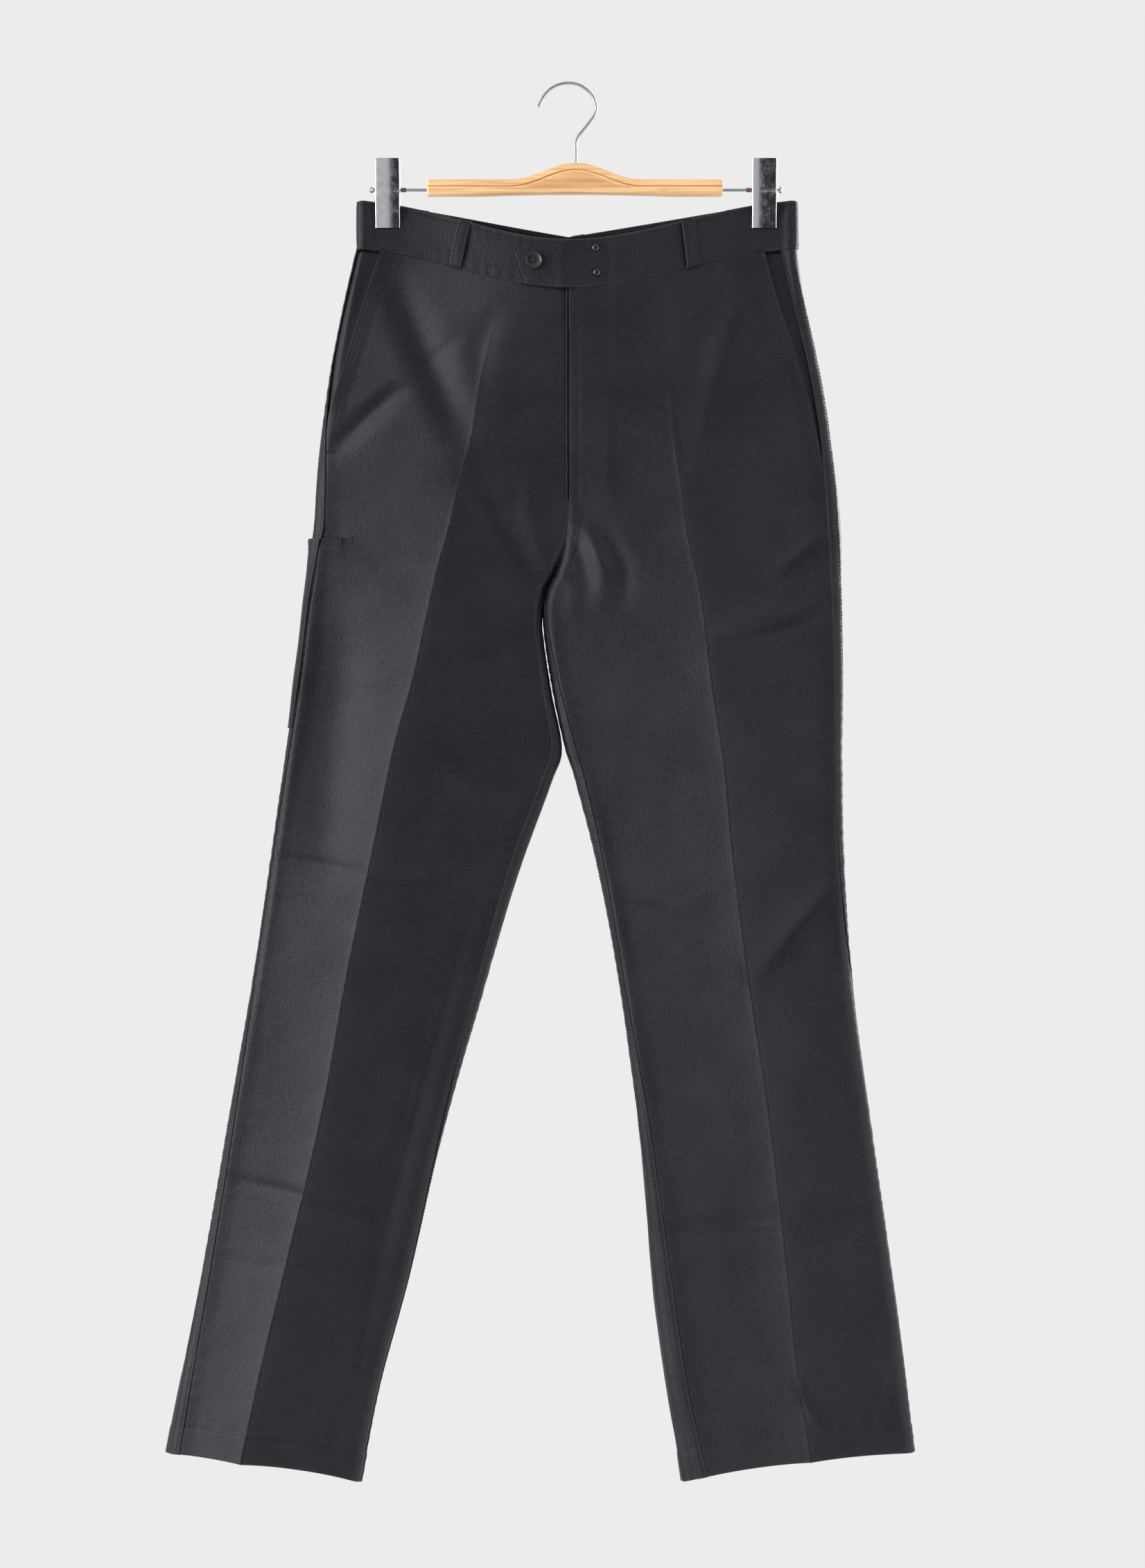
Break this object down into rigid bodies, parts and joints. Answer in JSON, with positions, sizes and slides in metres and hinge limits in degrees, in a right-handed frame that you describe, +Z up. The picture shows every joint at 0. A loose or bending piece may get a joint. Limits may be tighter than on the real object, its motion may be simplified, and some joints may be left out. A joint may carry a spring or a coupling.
{
  "type": "straight-leg trousers on a clip hanger",
  "caption": "Straight-leg work trousers with pressed creases, slant pockets and a pointed waist tab, hung by the waistband from a wooden hanger with spring clips.",
  "frame": {"origin": "inside top of the hanger's hook, where a rail carries it", "axes": "+Z up, +X towards the wearer's left, -Y towards the front of the trousers"},
  "size_m": [0.649, 0.0837, 1.2115],
  "materials": {
    "black_cloth": "matt brushed cotton satin with a soft sheen",
    "button_horn": "semi-gloss black",
    "black_rivet": "gloss black",
    "hanger_wood": "clear lacquered pale wood",
    "hanger_chrome": "polished",
    "clip_steel": "polished, slightly scuffed"
  },
  "bodies": {
    "root": {"front_right": "black_cloth", "front_left": "black_cloth", "back_right": "black_cloth", "back_left": "black_cloth", "pocket_facing_right": "black_cloth", "pocket_facing_left": "black_cloth", "ruler_pocket": "black_cloth", "waistband_right": "black_cloth", "waistband_left": "black_cloth", "waistband_back": "black_cloth", "belt_loop_front_right": "black_cloth", "belt_loop_front_left": "black_cloth", "belt_loop_back_right": "black_cloth", "belt_loop_back_centre": "black_cloth", "belt_loop_back_left": "black_cloth", "button": "button_horn", "rivet_upper": "black_rivet", "rivet_lower": "black_rivet", "hanger_bar": "hanger_wood", "hanger_rod": "hanger_chrome", "hanger_hook": "hanger_chrome", "clip_front_jaw_right": "clip_steel", "clip_back_jaw_right": "clip_steel", "clip_spring_right": "clip_steel", "clip_front_jaw_left": "clip_steel", "clip_back_jaw_left": "clip_steel", "clip_spring_left": "clip_steel"}
  },
  "joints": []
}
